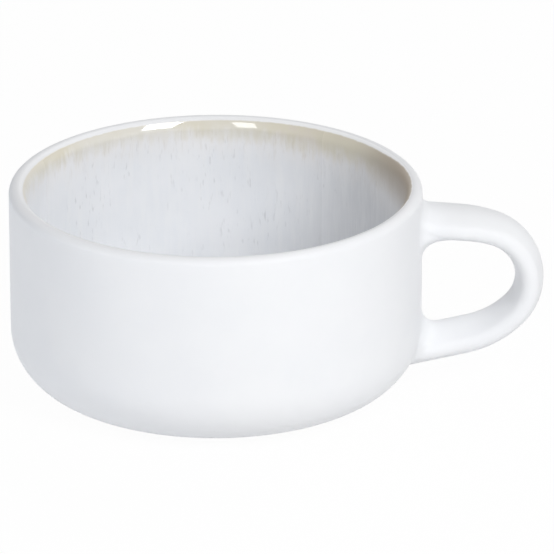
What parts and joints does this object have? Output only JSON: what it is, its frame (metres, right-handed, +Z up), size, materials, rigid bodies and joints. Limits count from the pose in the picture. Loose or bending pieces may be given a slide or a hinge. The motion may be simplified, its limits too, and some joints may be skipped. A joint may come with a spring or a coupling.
{
  "type": "soup mug",
  "caption": "Wide, low stoneware mug for soup with a straight wall, rounded base and strap handle; satin white outside, glossy reactive glaze inside",
  "frame": {"origin": "on the axis of the cup, in the plane of the foot ring's standing face, so the mug stands on z = 0", "axes": "+Z is up along the axis of the cup, +X points along the handle, and the XZ plane halves the handle"},
  "size_m": [0.1633, 0.126, 0.064],
  "materials": {
    "clay": "bare fired stoneware, matt",
    "slip": "fired slip, matt",
    "reactive_glaze": "glossy pale blue-grey, streaked",
    "satin_glaze": "satin cool white"
  },
  "bodies": {
    "root": {"cup_body": "clay", "handle": "clay", "upper_slip_joint": "slip", "lower_slip_joint": "slip", "inner_glaze": "reactive_glaze", "outer_glaze": "satin_glaze", "handle_glaze": "satin_glaze", "foot_glaze": "satin_glaze"}
  },
  "joints": []
}
